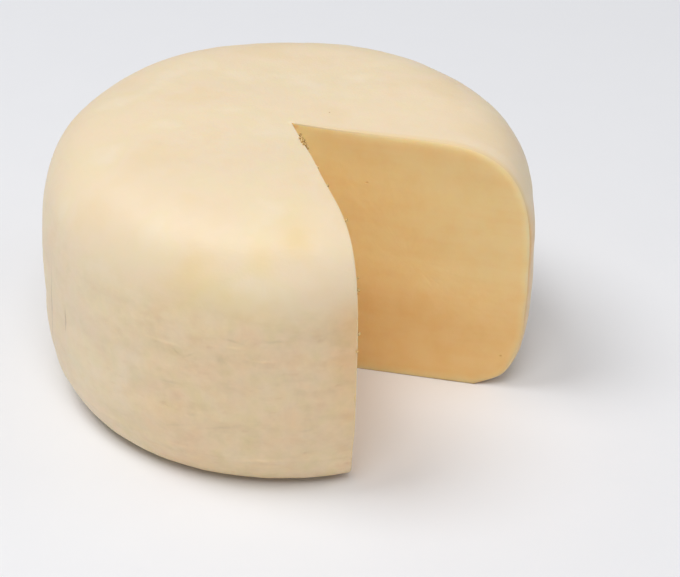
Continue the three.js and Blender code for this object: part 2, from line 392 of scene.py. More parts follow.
# From bearing, radius and height to the place in space. The rings' centres run from the axis at the
# girth to the cuts' apex at the crown's middle, so that the rind starts in the apex at every bearing.
facing_x = add_node(form, MATH, [bearing], operation="COSINE")
facing_y = add_node(form, MATH, [bearing], operation="SINE")
facing = add_node(form, "ShaderNodeCombineXYZ", [facing_x, facing_y, 0.0])
spoke = add_node(form, VECTOR_MATH, {"Vector": facing, "Scale": pressed}, operation="SCALE")
to_axis = add_node(form, MATH, [1.0, reach], operation="SUBTRACT")
hub = add_node(form, VECTOR_MATH, {"Vector": given["Apex"], "Scale": to_axis}, operation="SCALE")
plan = add_node(form, VECTOR_MATH, [spoke, hub], operation="ADD")
wave_height = 0.0
for length, heading, crest in CROWN_WAVES:
    step = (2 * pi * cos(heading) / length, 2 * pi * sin(heading) / length, 0)
    phase = add_node(form, VECTOR_MATH, [plan, step], operation="DOT_PRODUCT")
    swing = add_node(form, MATH, [phase], operation="SINE")
    wave_height = add_node(form, MATH, [swing, crest, wave_height], operation="MULTIPLY_ADD")
on_crown = add_node(form, MAP_RANGE, [level, given["Crown wave foot"], height, 0.0, 1.0], **EASE_IN_OUT)
top = add_node(form, MATH, [wave_height, on_crown, level], operation="MULTIPLY_ADD")
top_point = add_node(form, "ShaderNodeCombineXYZ", [0.0, 0.0, top])
upright = add_node(form, VECTOR_MATH, [plan, top_point], operation="ADD")

# The left cut leans and bows: the cheese beside it is drawn back from the notch, more so between the
# crown and the foot, and part of the way along.
from_apex = add_node(form, VECTOR_MATH, [plan, given["Apex"]], operation="SUBTRACT")
into_notch = add_node(form, VECTOR_MATH, [from_apex, given["Out of left cut"]], operation="DOT_PRODUCT")
near_cut = bell(form, into_notch, given["Lean reach"])
off_middle = add_node(form, VECTOR_MATH, [from_apex, given["Across notch"]], operation="DOT_PRODUCT")
right_blend = add_node(form, MATH, [given["Lean blend"], -1.0], operation="MULTIPLY")
on_left = add_node(
    form, MAP_RANGE, [off_middle, right_blend, given["Lean blend"], 1.0, 0.0], **EASE_IN_OUT
)
below_crown = add_node(form, MATH, [height, top], operation="SUBTRACT")
below_share = add_node(form, MATH, [below_crown, given["Lean height"]], operation="DIVIDE")
upright_share = add_node(form, MATH, [BELL, below_share], operation="POWER")
lean_share = add_node(form, MATH, [1.0, upright_share], operation="SUBTRACT")
along_cut = add_node(form, VECTOR_MATH, [from_apex, given["Left run"]], operation="DOT_PRODUCT")
off_bow = add_node(form, MATH, [along_cut, given["Bow at"]], operation="SUBTRACT")
bow_bell = bell(form, off_bow, given["Bow reach"])
bow = add_node(form, MATH, [bow_bell, given["Bow"]], operation="MULTIPLY")
off_lean_foot = add_node(form, MAP_RANGE, [top, 0.0, given["Lean foot"], 0.0, 1.0], **EASE_IN_OUT)
lean_faded = add_node(form, MATH, [lean_share, off_lean_foot], operation="MULTIPLY")
lean_bow = add_node(form, MATH, [lean_faded, given["Lean"], bow], operation="MULTIPLY_ADD")
lean_near = add_node(form, MATH, [lean_bow, near_cut], operation="MULTIPLY")
lean_shift = add_node(form, MATH, [lean_near, on_left], operation="MULTIPLY")
leaned = add_node(
    form, VECTOR_MATH, {"Vector": given["Out of left cut"], "Scale": lean_shift}, operation="SCALE"
)
standing = add_node(form, VECTOR_MATH, [upright, leaned], operation="SUBTRACT")
stood = add_node(form, "GeometryNodeSetPosition", {"Geometry": kept, "Position": standing})
welded = add_node(form, "GeometryNodeMergeByDistance", {"Geometry": stood, "Distance": WELD})

# Finer relief, along the surface: swells and pits of the rind, and cut curd with the knife's waves. The
# pits are kept for the painted shade in the rind's colour too.
normal = add_node(form, "GeometryNodeInputNormal")
flat_map = add_node(
    form, "GeometryNodeInputNamedAttribute", {"Name": "rolled_out"}, data_type="FLOAT_VECTOR"
)
_, map_radius, map_level = add_node(form, "ShaderNodeSeparateXYZ", [flat_map]).outputs
buried = add_node(form, "GeometryNodeInputNamedAttribute", {"Name": "rind_depth"}, data_type="FLOAT")
on_cut = add_node(form, "GeometryNodeInputNamedAttribute", {"Name": "cut"}, data_type="FLOAT")
rind_noise = add_node(
    form, NOISE, {"Vector": position, "Scale": 1 / RIND_SWELL, "Detail": 3.0, "Roughness": 0.45}
)
rind_swell = add_node(form, MAP_RANGE, [rind_noise, *RELIEF_NOISE, -RIND_RELIEF / 2, RIND_RELIEF / 2])
pit_map = add_node(
    form, VECTOR_MATH, [flat_map, (1 / PIT_LENGTH, 0, 1 / PIT_HEIGHT)], operation="MULTIPLY"
)
pit_noise = add_node(form, NOISE, {"Vector": pit_map, "Scale": 1.0, "Detail": 2.0})
pit_shape = add_node(form, MAP_RANGE, [pit_noise, *PIT_NOISE, 0.0, 1.0], **EASE_IN_OUT)
map_side = add_node(form, MAP_RANGE, [map_radius, *side_span], **EASE_IN_OUT)
below_shoulder = add_node(
    form, MAP_RANGE, [map_level, PIT_TOP - PIT_FADE, PIT_TOP, 1.0, 0.0], **EASE_IN_OUT
)
side_pits = add_node(form, MATH, [pit_shape, map_side], operation="MULTIPLY")
pits = add_node(form, MATH, [side_pits, below_shoulder], operation="MULTIPLY")
pitted = add_node(
    form,
    "GeometryNodeStoreNamedAttribute",
    {"Geometry": welded, "Name": "pits", "Value": pits},
    data_type="FLOAT",
    domain="POINT",
)
rind_relief = add_node(form, MATH, [pits, -PIT_DEPTH, rind_swell], operation="MULTIPLY_ADD")
off_floor = add_node(form, MAP_RANGE, [map_level, *foot_span], **EASE_IN_OUT)
rind_height = add_node(form, MATH, [rind_relief, off_floor], operation="MULTIPLY")
curd_noise = add_node(
    form, NOISE, {"Vector": position, "Scale": 1 / CURD_GRAIN, "Detail": 3.0, "Roughness": 0.5}
)
cut_height = add_node(form, MAP_RANGE, [curd_noise, *RELIEF_NOISE, -CURD_RELIEF / 2, CURD_RELIEF / 2])
for length, heading, crest in CUT_WAVES:
    step = (0, 2 * pi * cos(heading) / length, 2 * pi * sin(heading) / length)
    phase = add_node(form, VECTOR_MATH, [flat_map, step], operation="DOT_PRODUCT")
    swing = add_node(form, MATH, [phase], operation="SINE")
    cut_height = add_node(form, MATH, [swing, crest, cut_height], operation="MULTIPLY_ADD")
from_edge = add_node(form, MAP_RANGE, [buried, 0.0, given["Lean blend"], 0.0, 1.0], **EASE_IN_OUT)
cut_faded = add_node(form, MATH, [cut_height, from_edge], operation="MULTIPLY")
fine_height = add_node(form, "ShaderNodeMix", [on_cut, rind_height, cut_faded], data_type="FLOAT")
fine_offset = add_node(form, VECTOR_MATH, {"Vector": normal, "Scale": fine_height}, operation="SCALE")
uneven = add_node(form, "GeometryNodeSetPosition", {"Geometry": pitted, "Offset": fine_offset})

# The right cut's rim is rounded off, from a little way out of the apex to the foot.
map_run, _, _ = add_node(form, "ShaderNodeSeparateXYZ", [flat_map]).outputs
right_run = add_node(form, MATH, [right_cut, girth], operation="MULTIPLY")
off_right = add_node(form, MATH, [map_run, right_run], operation="SUBTRACT")
map_reach = add_node(form, MATH, [map_radius, girth], operation="DIVIDE")
from_right = add_node(form, MATH, [off_right, map_reach], operation="MULTIPLY")
from_rim = add_node(form, MATH, [from_right, buried], operation="MAXIMUM")
near_rim = add_node(form, MAP_RANGE, [from_rim, 0.0, given["Round within"], 1.0, 0.0], **EASE_IN_OUT)
off_apex = add_node(form, MAP_RANGE, [map_radius, 0.0, given["Round from"], 0.0, 1.0])
rim_share = add_node(form, MATH, [near_rim, off_apex], operation="MULTIPLY")
rim_weight = add_node(form, MATH, [rim_share, off_floor], operation="MULTIPLY")
evened = add_node(
    form,
    "GeometryNodeBlurAttribute",
    {"Value": position, "Iterations": given["Round steps"], "Weight": rim_weight},
    data_type="FLOAT_VECTOR",
)
rounded = add_node(form, "GeometryNodeSetPosition", {"Geometry": uneven, "Position": evened})

# The sharp edges of the cuts are worn back a little, and nicked where the curd crumbled.
edge_angle = add_node(form, "GeometryNodeInputMeshEdgeAngle")
is_edge, is_sharp = [
    add_node(form, MATH, [edge_angle.outputs[name], SHARP_ANGLE], operation="GREATER_THAN")
    for name in ("Signed Angle", "Unsigned Angle")
]
nick_noise = add_node(form, NOISE, {"Vector": position, "Scale": 1 / NICK_LENGTH, "Detail": 3.0})
nicks = add_node(form, MAP_RANGE, [nick_noise, *NICK_NOISE, 0.0, given["Edge nicks"]])
worn = add_node(form, MATH, [nicks, given["Edge wear"]], operation="ADD")
worn_back = add_node(form, MATH, [worn, -1.0], operation="MULTIPLY")
worn_offset = add_node(form, VECTOR_MATH, {"Vector": normal, "Scale": worn_back}, operation="SCALE")
eased = add_node(
    form, "GeometryNodeSetPosition", {"Geometry": rounded, "Selection": is_edge, "Offset": worn_offset}
)

# Smooth all over but for the sharp edges, and one material for the rind and one for the cut faces.
smooth = add_node(form, "GeometryNodeSetShadeSmooth", [eased, True, True], domain="FACE")
creased = add_node(form, "GeometryNodeSetShadeSmooth", [smooth, is_sharp, False], domain="EDGE")
real = add_node(form, "GeometryNodeRealizeInstances", [creased])
is_cut = add_node(form, MATH, [on_cut, 0.5], operation="GREATER_THAN")
in_rind = add_node(form, "GeometryNodeSetMaterial", {"Geometry": real, "Material": given["Rind"]})
in_paste = add_node(
    form,
    "GeometryNodeSetMaterial",
    {"Geometry": in_rind, "Selection": is_cut, "Material": given["Paste"]},
)
add_node(form, "NodeGroupOutput", [in_paste])


def linear(hex_colour):
    """The linear RGBA of an sRGB colour such as EED9B8."""
    channels = [int(hex_colour[i : i + 2], 16) / 255 for i in (0, 2, 4)]
    return (*[c / 12.92 if c <= 0.04045 else ((c + 0.055) / 1.055) ** 2.4 for c in channels], 1.0)


def new_material(name):
    """Starts a material with no nodes, and returns it with its tree and its Object coordinates."""
    material = bpy.data.materials.new(name)
    material.use_nodes = True
    tree = material.node_tree
    tree.nodes.clear()
    return material, tree, add_node(tree, "ShaderNodeTexCoord").outputs["Object"]


def set_stops(ramp, colours):
    """Gives a colour ramp its stops, each a share of the way along it and a colour."""
    stops = ramp.color_ramp.elements
    stops[0].position, stops[1].position = colours[0][0], colours[-1][0]
    stops[0].color, stops[1].color = linear(colours[0][1]), linear(colours[-1][1])
    for share, hex_colour in colours[1:-1]:
        stops.new(share).color = linear(hex_colour)


def tinted(tree, colour, tints):
    """Multiplies a colour by each tint in turn, as far as the tint's share."""
    for share, hex_colour in tints:
        mixed = {"Factor": share, "A": colour, "B": linear(hex_colour)}
        colour = add_node(tree, "ShaderNodeMix", mixed, data_type="RGBA", blend_type="MULTIPLY")
    return colour


# The rind: cheese skin, dried and rubbed smooth. To the eye it is cream, with slow clouds of peach and
# yellow and a soft satin sheen. The side is mottled, most of all near the cuts, where painted warm shade
# and a painted yellow cast of light through the cut edge lie on it. It has faint creases with painted
# shade in them and small dark spots; the underside has painted shade.
CLOUD = 32 * MM
CLOUD_COLOURS = ((0.3, "F0DAB5"), (0.44, "F1DCBC"), (0.56, "F0DDB9"), (0.7, "F2E0C2"))
SIDE_FROM = 134 * MM
SIDE_FULL = 108 * MM
SIDE_WARP = 16 * MM
# Painted warm shade on the side near the cuts, as of light bounced off cut cheese; its reach also sets
# the blotching.
WARM_SHADE_REACH = (90 * MM, 170 * MM)
WARM_SHADE_TINT = "FFF9F1"
# A painted yellow cast near the cuts, low on the side, as of light shining through the cut edge.
TRANSLUCENT_CAST_REACH = (0.0, 24 * MM)
TRANSLUCENT_CAST_LEVELS = (20 * MM, 95 * MM)
TRANSLUCENT_CAST_TINT = "FEF0DD"
RIM_REACH = 3.5 * MM
RIM_FROM = 36 * MM
RIM_TINT = "F5EDD6"
BLUSH = 11 * MM
PINK_TINT = "FFFBF9"
PINK_NOISE = (0.5, 0.7)
GREEN_TINT = "FAFCF6"
GREEN_NOISE = (0.3, 0.5)
SMUDGE_MAP = (1 / (18 * MM), 0, 1 / (8 * MM))
SMUDGE_NOISE = (0.48, 0.72)
SMUDGE_TINT = "F8F5F1"
FAR_BLOTCHES = 0.5
# Painted shade in the pressed pits.
PIT_SHADE_TINT = "F5F0EA"
# Painted shade on the underside, where the foot meets the floor.
UNDERSIDE_SHADE_LEVEL = 3 * MM
UNDERSIDE_SHADE_TINT = "DDB87F"
SPECK_SPACING = 24 * MM
SPECK_RADIUS = 0.5 * MM
SPECK_COLOUR = "C7AB80"
MOTTLE = 5 * MM
MOTTLE_SHADE = 0.025
WANDER = 4 * MM
MARK_WANDER = 1.1 * MM
SHEEN = (0.42, 0.56)
CHEESE_IOR = 1.45

# A noise's mean, and the values that most of it lies between.
MEAN_NOISE = (0.5, 0.5, 0.5)
MOST_NOISE = (0.3, 0.7)

# Fine relief, in millimetres of height. The skin's grain is drawn coarser than it is, so that it shows.
GRAIN = 1.6 * MM
GRAIN_RELIEF = 0.085
SCUFF_MAP = (1 / (7 * MM), 0, 1 / (3.5 * MM))
SCUFF_RELIEF = 0.12
MARK_RELIEF = 1.5

# Cracks and creases, darker with painted shade in them, scrapes, small dark spots, painted highlights
# along the mould's ridge and, last, broad patches of painted light and shade on the side: the run round
# the girth, level, half length and half width in millimetres, the tilt in degrees, and how much lighter
# or darker the rind is there.
MARKS_AND_PAINTED_LIGHT = (
    (475, 59, 22, 0.6, 82, -0.3),
    (498, 65, 5.5, 0.45, 87, -0.3),
    (581, 55.5, 3.2, 2.0, 0, -0.06),
    (580.5, 60, 2.4, 1.2, 0, 0.05),
    (646, 66, 2.0, 2.6, 0, -0.07),
    (575, 86.5, 8.0, 0.9, -2, 0.07),
    (612, 94.5, 5.0, 0.8, -10, -0.08),
    (634, 96, 5.5, 0.8, 2, -0.08),
    (614, 91, 4.0, 0.9, 3, 0.08),
    (581.5, 82.5, 2.2, 0.9, -40, -0.09),
    (589, 82, 2.8, 0.8, 35, -0.08),
    (579, 63.5, 4.8, 0.8, 5, -0.08),
    (590, 47, 2.6, 1.0, 10, -0.07),
    (580, 37.5, 6.0, 0.9, 18, -0.07),
    (607, 42.3, 8.5, 0.8, 14, -0.06),
    (650, 43.2, 3.2, 0.8, 8, -0.07),
    (651.5, 50, 2.5, 0.7, 0, -0.05),
    (605.5, 83, 2.2, 2.2, 0, -0.08),
    (627.5, 84.5, 5.0, 0.8, 3, 0.08),
    (619, 84, 2.0, 0.9, 0, -0.07),
    # Painted highlights along the mould's ridge.
    (624, 22, 10.0, 1.2, 5, 0.09),
    (582, 24, 5.0, 1.0, 2, 0.06),
    # Broad patches of painted light and shade.
    (661, 97, 14.0, 7.0, 0, -0.07),
    (671, 14, 10.0, 8.0, 0, 0.13),
    (632, 126, 45.0, 9.0, 0, 0.05),
    (521, 36, 26.0, 16.0, 0, 0.05),
    (495, 128, 30.0, 14.0, 0, 0.05),
)

# Buttery patches of the shoulder, placed and sized as the marks are.
BUTTER_PATCHES = ((592, 120, 17, 16, 0), (613, 116, 18, 9, 0), (625, 136, 9, 7, 0), (644, 143, 12, 6, 0))
BUTTER_TINT = "FFFCEB"

rind, tree, spot = new_material("dried cheese rind")
flat = add_node(tree, "ShaderNodeAttribute", attribute_name="rolled_out").outputs["Vector"]
run, radius, level = add_node(tree, "ShaderNodeSeparateXYZ", [flat]).outputs

clouds = add_node(tree, NOISE, {"Vector": spot, "Scale": 1 / CLOUD, "Detail": 3.0, "Roughness": 0.45})
colour = add_node(tree, "ShaderNodeValToRGB", [clouds])
set_stops(colour, CLOUD_COLOURS)

# How low on the side a point is, and how near a cut, where the rind is more blotched and has painted
# warm shade and a painted yellow cast of light through the cut edge.
warped = add_node(tree, MATH, [clouds, SIDE_WARP, level], operation="MULTIPLY_ADD")
side = add_node(tree, MAP_RANGE, [warped, SIDE_FULL, SIDE_FROM, 1.0, 0.0], **EASE_IN_OUT)
to_left = add_node(tree, MATH, [LEFT_CUT * GIRTH_RADIUS, run], operation="SUBTRACT")
to_right = add_node(tree, MATH, [run, RIGHT_CUT * GIRTH_RADIUS], operation="SUBTRACT")
to_cut = add_node(tree, MATH, [to_left, to_right], operation="MINIMUM")
near_cuts = []
for cut_reach in (WARM_SHADE_REACH, TRANSLUCENT_CAST_REACH):
    near_cut = add_node(tree, MAP_RANGE, [to_cut, *cut_reach, 1.0, 0.0], **EASE_IN_OUT)
    near_cuts.append(add_node(tree, MATH, [near_cut, side], operation="MULTIPLY"))
warm_shade_and_blotching, translucent_cast_side = near_cuts
translucent_cast_rise = add_node(tree, MAP_RANGE, [level, *TRANSLUCENT_CAST_LEVELS, 0.0, 1.0])
translucent_cast = add_node(tree, MATH, [translucent_cast_side, translucent_cast_rise], operation="MULTIPLY")
handled = add_node(tree, MAP_RANGE, [warm_shade_and_blotching, 0.0, 1.0, FAR_BLOTCHES, 1.0])
blotchy = add_node(tree, MATH, [handled, side], operation="MULTIPLY")

# Blotches: smudges that lie along the side, pressed pits with painted shade in them, and blushes of pink
# and green.
smudge_map = add_node(tree, VECTOR_MATH, [flat, SMUDGE_MAP], operation="MULTIPLY")
smudge_noise = add_node(tree, NOISE, {"Vector": smudge_map, "Scale": 1.0, "Detail": 3.0})
smudge_shape = add_node(tree, MAP_RANGE, [smudge_noise, *SMUDGE_NOISE, 0.0, 1.0])
smudge = add_node(tree, MATH, [smudge_shape, blotchy], operation="MULTIPLY")
pressed_pits = add_node(tree, "ShaderNodeAttribute", attribute_name="pits").outputs["Fac"]
pit_shade = add_node(tree, MATH, [pressed_pits, handled], operation="MULTIPLY")
blush_noise = add_node(tree, NOISE, {"Vector": spot, "Scale": 1 / BLUSH, "Detail": 2.0})
pink_shape = add_node(tree, MAP_RANGE, [blush_noise, *PINK_NOISE, 0.0, 1.0])
green_shape = add_node(tree, MAP_RANGE, [blush_noise, *GREEN_NOISE, 1.0, 0.0])
pink = add_node(tree, MATH, [pink_shape, blotchy], operation="MULTIPLY")
green = add_node(tree, MATH, [green_shape, blotchy], operation="MULTIPLY")

# The rim along the right cut, painted shade on the underside, and a few specks.
reach = add_node(tree, MATH, [radius, GIRTH_RADIUS], operation="DIVIDE")
to_rim = add_node(tree, MATH, [to_right, reach], operation="MULTIPLY")
near_rim = add_node(tree, MAP_RANGE, [to_rim, 0.0, RIM_REACH, 1.0, 0.0])
off_apex = add_node(tree, MAP_RANGE, [radius, 0.0, RIM_FROM, 0.0, 1.0])
rim = add_node(tree, MATH, [near_rim, off_apex], operation="MULTIPLY")
underside_shade = add_node(tree, MAP_RANGE, [level, 0.0, UNDERSIDE_SHADE_LEVEL, 1.0, 0.0])
cells = add_node(tree, "ShaderNodeTexVoronoi", {"Vector": spot, "Scale": 1 / SPECK_SPACING})
speck = add_node(
    tree, MAP_RANGE, [cells, 0.5 * SPECK_RADIUS / SPECK_SPACING, SPECK_RADIUS / SPECK_SPACING, 1.0, 0.0]
)

# Marks and buttery patches: each is a bell on the rolled-out rind, with a wandering outline.
wander = add_node(tree, NOISE, {"Vector": spot, "Scale": 1 / WANDER, "Detail": 2.0})
swing = add_node(tree, VECTOR_MATH, [wander.outputs["Color"], MEAN_NOISE], operation="SUBTRACT")
wandered = add_node(
    tree, VECTOR_MATH, [swing, (MARK_WANDER, 0, MARK_WANDER), flat], operation="MULTIPLY_ADD"
)
spreads = []
mark_places = [mark[:5] for mark in MARKS_AND_PAINTED_LIGHT]
for mark_run, mark_level, half_length, half_width, tilt in [*BUTTER_PATCHES, *mark_places]:
    middle = (mark_run * MM, 0, mark_level * MM)
    lengthwise = Vector((cos(radians(tilt)), 0, sin(radians(tilt)))) / (half_length * MM)
    widthwise = Vector((-sin(radians(tilt)), 0, cos(radians(tilt)))) / (half_width * MM)
    off = add_node(tree, VECTOR_MATH, [wandered, middle], operation="SUBTRACT")
    along = add_node(tree, VECTOR_MATH, [off, lengthwise], operation="DOT_PRODUCT")
    over = add_node(tree, VECTOR_MATH, [off, widthwise], operation="DOT_PRODUCT")
    off_mark = add_node(tree, "ShaderNodeCombineXYZ", [along, over, 0.0])
    squared = add_node(tree, VECTOR_MATH, [off_mark, off_mark], operation="DOT_PRODUCT")
    spreads.append(add_node(tree, MATH, [BELL, squared], operation="POWER"))
butter = 0.0
for spread in spreads[: len(BUTTER_PATCHES)]:
    butter = add_node(tree, MATH, [spread, butter], operation="MAXIMUM")
marks_and_painted_light = 0.0
for spread, mark in zip(spreads[len(BUTTER_PATCHES) :], MARKS_AND_PAINTED_LIGHT):
    marks_and_painted_light = add_node(tree, MATH, [spread, mark[5], marks_and_painted_light], operation="MULTIPLY_ADD")

# Mottle and marks, with painted light and shade among the marks, make it lighter or darker, and the
# rest tint it, with painted shade and a painted cast of light among the tints.
mottle_noise = add_node(
    tree, NOISE, {"Vector": spot, "Scale": 1 / MOTTLE, "Detail": 3.0, "Roughness": 0.6}
)
mottle = add_node(tree, MAP_RANGE, [mottle_noise, *MOST_NOISE, -MOTTLE_SHADE, MOTTLE_SHADE])
mottle_marks_and_painted_light = add_node(tree, MATH, [mottle, blotchy, marks_and_painted_light], operation="MULTIPLY_ADD")
shade = add_node(tree, MATH, [mottle_marks_and_painted_light, 1.0], operation="ADD")
# Of these tints, the warm one, the translucent cast, the pits' and the underside's are painted light and
# shade.
tints = (
    (warm_shade_and_blotching, WARM_SHADE_TINT),
    (translucent_cast, TRANSLUCENT_CAST_TINT),
    (rim, RIM_TINT),
    (butter, BUTTER_TINT),
    (pink, PINK_TINT),
    (green, GREEN_TINT),
    (smudge, SMUDGE_TINT),
    (pit_shade, PIT_SHADE_TINT),
    (underside_shade, UNDERSIDE_SHADE_TINT),
    (speck, SPECK_COLOUR),
)
colour = tinted(tree, colour, tints)
shaded = add_node(tree, VECTOR_MATH, {"Vector": colour, "Scale": shade}, operation="SCALE")

# Fine relief, and a sheen that varies.
grain = add_node(tree, NOISE, {"Vector": spot, "Scale": 1 / GRAIN, "Detail": 3.0})
scuff_map = add_node(tree, VECTOR_MATH, [flat, SCUFF_MAP], operation="MULTIPLY")
scuffs = add_node(tree, NOISE, {"Vector": scuff_map, "Scale": 1.0, "Detail": 3.0})
scuff_side = add_node(tree, MATH, [scuffs, blotchy], operation="MULTIPLY")
scuff_height = add_node(tree, MATH, [scuff_side, SCUFF_RELIEF], operation="MULTIPLY")
grain_height = add_node(tree, MATH, [grain, GRAIN_RELIEF, scuff_height], operation="MULTIPLY_ADD")
mark_height = add_node(tree, MATH, [marks_and_painted_light, MARK_RELIEF, grain_height], operation="MULTIPLY_ADD")
bump = add_node(tree, "ShaderNodeBump", {"Strength": 1.0, "Distance": MM, "Height": mark_height})
sheen = add_node(tree, MAP_RANGE, [wander, *MOST_NOISE, *SHEEN])
skin = add_node(
    tree,
    "ShaderNodeBsdfPrincipled",
    {
        "Base Color": shaded,
        "Roughness": sheen,
        "IOR": CHEESE_IOR,
        "Normal": bump,
        "Subsurface Weight": 0.2,
        "Subsurface Radius": (1.0, 0.62, 0.3),
        "Subsurface Scale": 5 * MM,
    },
)
add_node(tree, "ShaderNodeOutputMaterial", [skin])

# The paste: firm young cheddar, cut with a knife. To the eye it is a warm matt yellow, paler just under
# the rind, with a painted glow where the cuts meet and painted shade at the tip and towards the foot.
# It is close in grain, with faint drag marks along the cut and a few small tears with painted shade in
# them.
PASTE_COLOURS = ((0.0, "F6DEAE"), (0.35, "FDE0A5"), (1.0, "FDDB9D"))
PASTE_BAND = 6 * MM
# Where light and shade are painted on the paste: a glow round the point where the cuts meet, shade on its
# tip.
PAINTED_LIGHT_POINT = APEX + Vector((0, 0, WHEEL_SIZES["Height"]))
PAINTED_GLOW_REACH = 42 * MM
PAINTED_GLOW_COLOUR = "FFE6AB"
# Painted shade in the corner where the cuts meet.
TIP_SHADE_REACH = 5 * MM
TIP_SHADE_TINT = "D2B98A"
# Painted shade, darker towards the foot of the cut faces.
LOW_SHADE_LEVELS = (80 * MM, 35 * MM)
LOW_SHADE_TINT = "F5EDE0"
CURD_SPACING = 13 * MM
CURD_NOISE = (0.4, 0.7)
CURD_TINT = "FDF9F3"
DRAG_MAP = (0, 1 / (60 * MM), 1 / (7 * MM))
DRAG_NOISE = (0.45, 0.7)
DRAG_TINT = "FEFBF8"
TEAR_MAP = (0, 1 / (30 * MM), 1 / (19 * MM))
TEAR_SIZE = (0.02, 0.045)
# Painted shade in the tears.
TEAR_SHADE_TINT = "F0E2C8"
PASTE_ROUGHNESS = (0.5, 0.64)

# Its fine relief, in millimetres of height. The grain is drawn coarser than it is, so that it shows.
PASTE_GRAIN = 2.2 * MM
PASTE_RELIEF = 0.1
DRAG_RELIEF = 0.02
TEAR_RELIEF = -0.5

paste, tree, spot = new_material("cut cheddar paste")
flat = add_node(tree, "ShaderNodeAttribute", attribute_name="rolled_out").outputs["Vector"]
depth = add_node(tree, "ShaderNodeAttribute", attribute_name="rind_depth").outputs["Fac"]

# Pale under the rind and yellow within; a painted glow round the point where the cuts meet, and painted
# shade on its tip.
patches = add_node(tree, NOISE, {"Vector": spot, "Scale": 1 / CURD_SPACING, "Detail": 3.0})
uneven_depth = add_node(tree, MATH, [patches, PASTE_BAND / 3, depth], operation="MULTIPLY_ADD")
inward = add_node(tree, MAP_RANGE, [uneven_depth, PASTE_BAND / 6, PASTE_BAND, 0.0, 1.0])
colour = add_node(tree, "ShaderNodeValToRGB", [inward])
set_stops(colour, PASTE_COLOURS)
off_point = add_node(tree, VECTOR_MATH, [spot, PAINTED_LIGHT_POINT], operation="DISTANCE")
painted_glow = add_node(tree, MAP_RANGE, [off_point, 0.0, PAINTED_GLOW_REACH, 1.0, 0.0], **EASE_IN_OUT)
tip_shade = add_node(tree, MAP_RANGE, [off_point, 0.0, TIP_SHADE_REACH, 1.0, 0.0])
colour = add_node(
    tree, "ShaderNodeMix", {"Factor": painted_glow, "A": colour, "B": linear(PAINTED_GLOW_COLOUR)}, data_type="RGBA"
)

# Patches of curd, drag marks along the cut, tears with painted shade in them, and painted shade towards
# the foot.
curd_shade = add_node(tree, MAP_RANGE, [patches, *CURD_NOISE, 0.0, 1.0])
drag_map = add_node(tree, VECTOR_MATH, [flat, DRAG_MAP], operation="MULTIPLY")
drag_noise = add_node(tree, NOISE, {"Vector": drag_map, "Scale": 1.0, "Detail": 3.0})
drag = add_node(tree, MAP_RANGE, [drag_noise, *DRAG_NOISE, 0.0, 1.0])
tear_map = add_node(tree, VECTOR_MATH, [flat, TEAR_MAP], operation="MULTIPLY")
tear_cells = add_node(tree, "ShaderNodeTexVoronoi", {"Vector": tear_map, "Scale": 1.0})
tear = add_node(tree, MAP_RANGE, [tear_cells, *TEAR_SIZE, 1.0, 0.0])
level = add_node(tree, "ShaderNodeSeparateXYZ", [spot]).outputs["Z"]
low_shade = add_node(tree, MAP_RANGE, [level, *LOW_SHADE_LEVELS, 0.0, 1.0], **EASE_IN_OUT)
# The tip, low and tear tints are painted shade.
tints = (
    (tip_shade, TIP_SHADE_TINT),
    (low_shade, LOW_SHADE_TINT),
    (curd_shade, CURD_TINT),
    (drag, DRAG_TINT),
    (tear, TEAR_SHADE_TINT),
)
colour = tinted(tree, colour, tints)

# Fine relief, and a dullness that varies.
grain = add_node(tree, NOISE, {"Vector": spot, "Scale": 1 / PASTE_GRAIN, "Detail": 3.0})
drag_height = add_node(tree, MATH, [drag_noise, DRAG_RELIEF], operation="MULTIPLY")
tear_height = add_node(tree, MATH, [tear, TEAR_RELIEF, drag_height], operation="MULTIPLY_ADD")
paste_height = add_node(tree, MATH, [grain, PASTE_RELIEF, tear_height], operation="MULTIPLY_ADD")
bump = add_node(tree, "ShaderNodeBump", {"Strength": 1.0, "Distance": MM, "Height": paste_height})
dull = add_node(tree, MAP_RANGE, [patches, *MOST_NOISE, *PASTE_ROUGHNESS])
flesh = add_node(
    tree,
    "ShaderNodeBsdfPrincipled",
    {
        "Base Color": colour,
        "Roughness": dull,
        "IOR": CHEESE_IOR,
        "Normal": bump,
        "Subsurface Weight": 0.5,
        "Subsurface Radius": (1.0, 0.65, 0.3),
        "Subsurface Scale": 7 * MM,
    },
)
add_node(tree, "ShaderNodeOutputMaterial", [flesh])


def grow(name, tree, values):
    """Runs a geometry tree with its inputs' values and returns its result as a plain mesh object."""
    piece = bpy.data.objects.new(name, bpy.data.meshes.new(name))
    bpy.context.scene.collection.objects.link(piece)
    modifier = piece.modifiers.new(name, "NODES")
    modifier.node_group = tree
    for item in tree.interface.items_tree:
        if item.in_out == "INPUT":
            modifier[item.identifier] = values[item.name]
    piece.update_tag()
    evaluated = piece.evaluated_get(bpy.context.evaluated_depsgraph_get())
    mesh = bpy.data.meshes.new_from_object(evaluated)
    for slot in reversed(range(len(mesh.materials))):
        if mesh.materials[slot] is None:
            mesh.materials.pop(index=slot)
    piece.modifiers.remove(modifier)
    piece.data = mesh
    mesh.name = name
    return piece


wheel = grow("cheddar_cut_wheel", form, WHEEL_SIZES | {"Rind": rind, "Paste": paste})
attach(wheel, "root")
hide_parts("cheddar_wheel")


